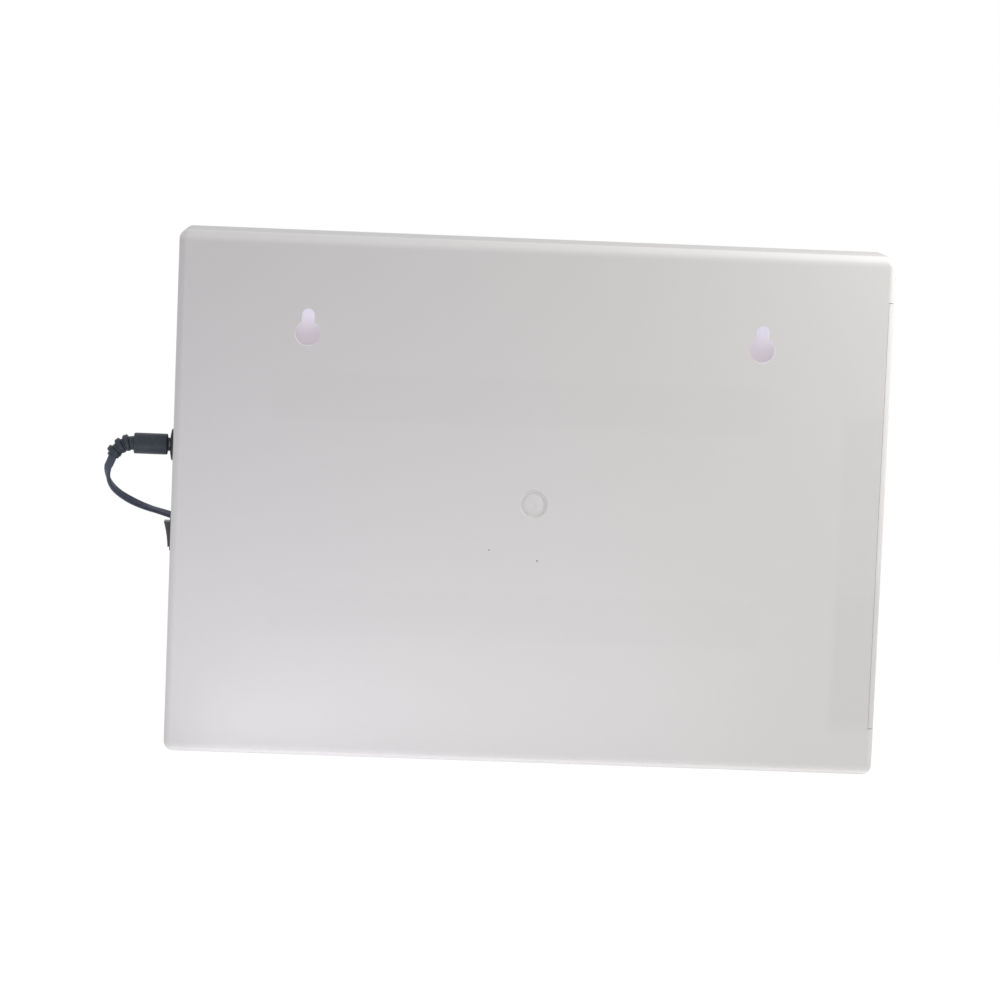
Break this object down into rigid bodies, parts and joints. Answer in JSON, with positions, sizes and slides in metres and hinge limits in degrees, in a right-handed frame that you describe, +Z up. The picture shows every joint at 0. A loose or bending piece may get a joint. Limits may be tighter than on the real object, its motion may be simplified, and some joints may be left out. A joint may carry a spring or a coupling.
{
  "type": "cinema light box",
  "caption": "Table-top cinema light box seen from behind, with keyhole hangers, a battery cover, a rocker switch and a plugged-in power lead.",
  "frame": {"origin": "middle of the underside of the box, on the surface it stands on, halfway between its two side faces and halfway through its depth", "axes": "+X to the right when the back is looked at, towards the battery cover; +Y from the back to the letter panel; +Z up"},
  "size_m": [0.3296, 0.0952, 0.22],
  "materials": {
    "housing_white": "fine spark-eroded texture, satin white ABS",
    "frame_white": "satin white ABS",
    "cover_white": "satin white ABS",
    "panel_milky": "milky light-spreading sheet",
    "rail_clear": "clear polystyrene",
    "strip_white": "white solder mask",
    "contact_nickel": "nickel-plated spring steel",
    "jack_black": "black moulding",
    "nut_nickel": "nickel plate",
    "terminal_brass": "bare brass",
    "switch_black": "black nylon",
    "rocker_black": "black nylon, smoother than the bezel",
    "wire_black": "soft insulation",
    "wire_red": "soft insulation",
    "sleeve_nickel": "nickel plate",
    "plug_pvc": "dark slate flexible moulding",
    "lead_pvc": "dark slate sheath, slightly shiny",
    "tie_black": "soft strap",
    "shell_steel": "nickel-plated sheet steel",
    "tongue_white": "white nylon"
  },
  "bodies": {
    "case": {"rear_housing": "housing_white", "front_frame": "frame_white", "diffuser_panel": "panel_milky", "rail_top": "rail_clear", "rail_upper_middle": "rail_clear", "rail_lower_middle": "rail_clear", "rail_bottom": "rail_clear", "led_strip_upper": "strip_white", "led_strip_lower": "strip_white", "contact_negative": "contact_nickel", "contact_positive": "contact_nickel", "battery_spring_front": "contact_nickel", "battery_spring_back": "contact_nickel", "jack_body": "jack_black", "jack_nut": "nut_nickel", "jack_pin": "terminal_brass", "jack_tag_sleeve": "terminal_brass", "jack_tag_break": "terminal_brass", "switch_housing": "switch_black", "switch_tag_upper": "terminal_brass", "switch_tag_lower": "terminal_brass", "wire_battery_negative": "wire_black", "wire_battery_positive": "wire_red", "wire_jack_switch": "wire_red", "wire_switch_strip": "wire_red", "wire_link_positive": "wire_red", "wire_link_negative": "wire_black"},
    "rocker": {"switch_rocker": "rocker_black"},
    "cover": {"battery_cover": "cover_white"},
    "lead": {"plug_sleeve": "sleeve_nickel", "plug_body": "plug_pvc", "lead_cord": "lead_pvc", "lead_coil": "lead_pvc", "lead_tail": "lead_pvc", "coil_tie": "tie_black", "usb_overmould": "plug_pvc", "usb_shell": "shell_steel", "usb_tongue": "tongue_white"}
  },
  "joints": [
    {"name": "switch_rock", "type": "hinge", "parent": "case", "child": "rocker", "pos_m": [-0.1488, 0, 0.0906], "axis": [0, 1, 0], "range_deg": [0, 19.5]},
    {"name": "plug_pull", "type": "slide", "parent": "case", "child": "lead", "axis": [-1, 0, 0], "range_m": [0, 0.0095]},
    {"name": "cover_pull", "type": "slide", "parent": "case", "child": "cover", "axis": [1, 0, 0], "range_m": [0, 0.03]}
  ]
}
